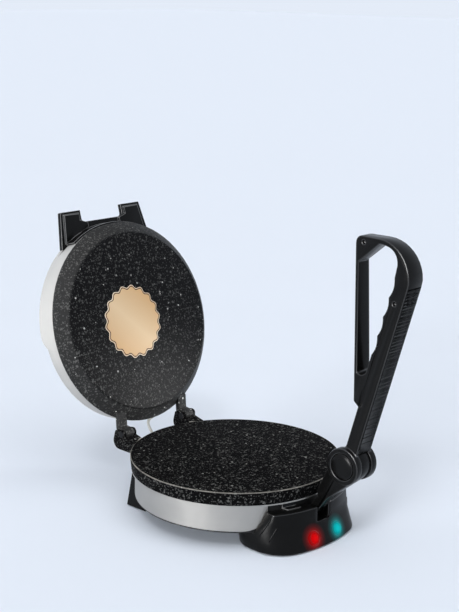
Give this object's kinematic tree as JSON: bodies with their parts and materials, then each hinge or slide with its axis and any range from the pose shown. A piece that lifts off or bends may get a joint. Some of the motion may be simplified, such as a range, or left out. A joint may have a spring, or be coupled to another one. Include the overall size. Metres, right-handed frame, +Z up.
{
  "type": "electric roti maker",
  "caption": "Countertop flatbread press: a round lower hot plate on a low base, a hinged upper plate in a steel lid, and a front press arm with a loop handle.",
  "frame": {"origin": "on the table under the middle of the overall bounding box, the lid standing open and the handle up", "axes": "+Z up, +Y towards the lid hinge at the back, -Y towards the press handle at the front, +X to the right of someone who faces +Y"},
  "size_m": [0.23, 0.4482, 0.3321],
  "materials": {
    "coated_casting": "black speckled non-stick coat on a cast plate",
    "steel_pin": "plain zinc-bright steel",
    "heater_sheath": "heat-stained tubular element",
    "polished_steel": "polished stainless sheet",
    "black_sheet": "black painted pressing",
    "black_moulding": "semi-gloss black heat-proof moulding",
    "black_grip": "satin black ribbed insert",
    "red_lens": "clear red lamp lens",
    "green_lens": "clear blue-green lamp lens",
    "black_rubber": "matte black rubber",
    "lead_sleeve": "pale heat-proof braided sleeve"
  },
  "bodies": {
    "base": {"lower_plate": "coated_casting", "hinge_pin_left": "steel_pin", "hinge_pin_right": "steel_pin", "lower_element": "heater_sheath", "lower_trim_ring": "polished_steel", "base_band": "polished_steel", "base_tray": "black_sheet", "front_housing": "black_moulding", "red_lamp_bezel": "black_moulding", "green_lamp_bezel": "black_moulding", "red_lamp_lens": "red_lens", "green_lamp_lens": "green_lens", "housing_bracket_left": "steel_pin", "housing_bracket_right": "steel_pin", "rear_block": "black_moulding", "cord_gland": "black_rubber", "foot_front_left": "black_rubber", "foot_front_right": "black_rubber", "foot_rear_left": "black_rubber", "foot_rear_right": "black_rubber", "arm_pin": "steel_pin", "lid_lead": "lead_sleeve"},
    "lid": {"upper_plate": "coated_casting", "upper_element": "heater_sheath", "lid_band": "polished_steel", "lid_cover": "polished_steel", "lid_fork": "black_moulding"},
    "arm": {"press_arm": "black_moulding"},
    "handle": {"handle": "black_moulding", "handle_grip": "black_grip", "hub_bolt": "steel_pin", "hub_cap_left": "black_moulding", "hub_cap_right": "black_moulding"}
  },
  "joints": [
    {"name": "lid_hinge", "type": "hinge", "parent": "base", "child": "lid", "pos_m": [0, 0.12228, 0.0704], "axis": [1, 0, 0], "range_deg": [0, 106], "deforming": ["lid_lead"]},
    {"name": "arm_swing", "type": "hinge", "parent": "base", "child": "arm", "pos_m": [0, -0.11402, 0.035], "axis": [1, 0, 0], "range_deg": [-13, 27]},
    {"name": "handle_pivot", "type": "hinge", "parent": "arm", "child": "handle", "pos_m": [0, -0.15762, 0.0968], "axis": [1, 0, 0], "range_deg": [-73, 0]}
  ]
}
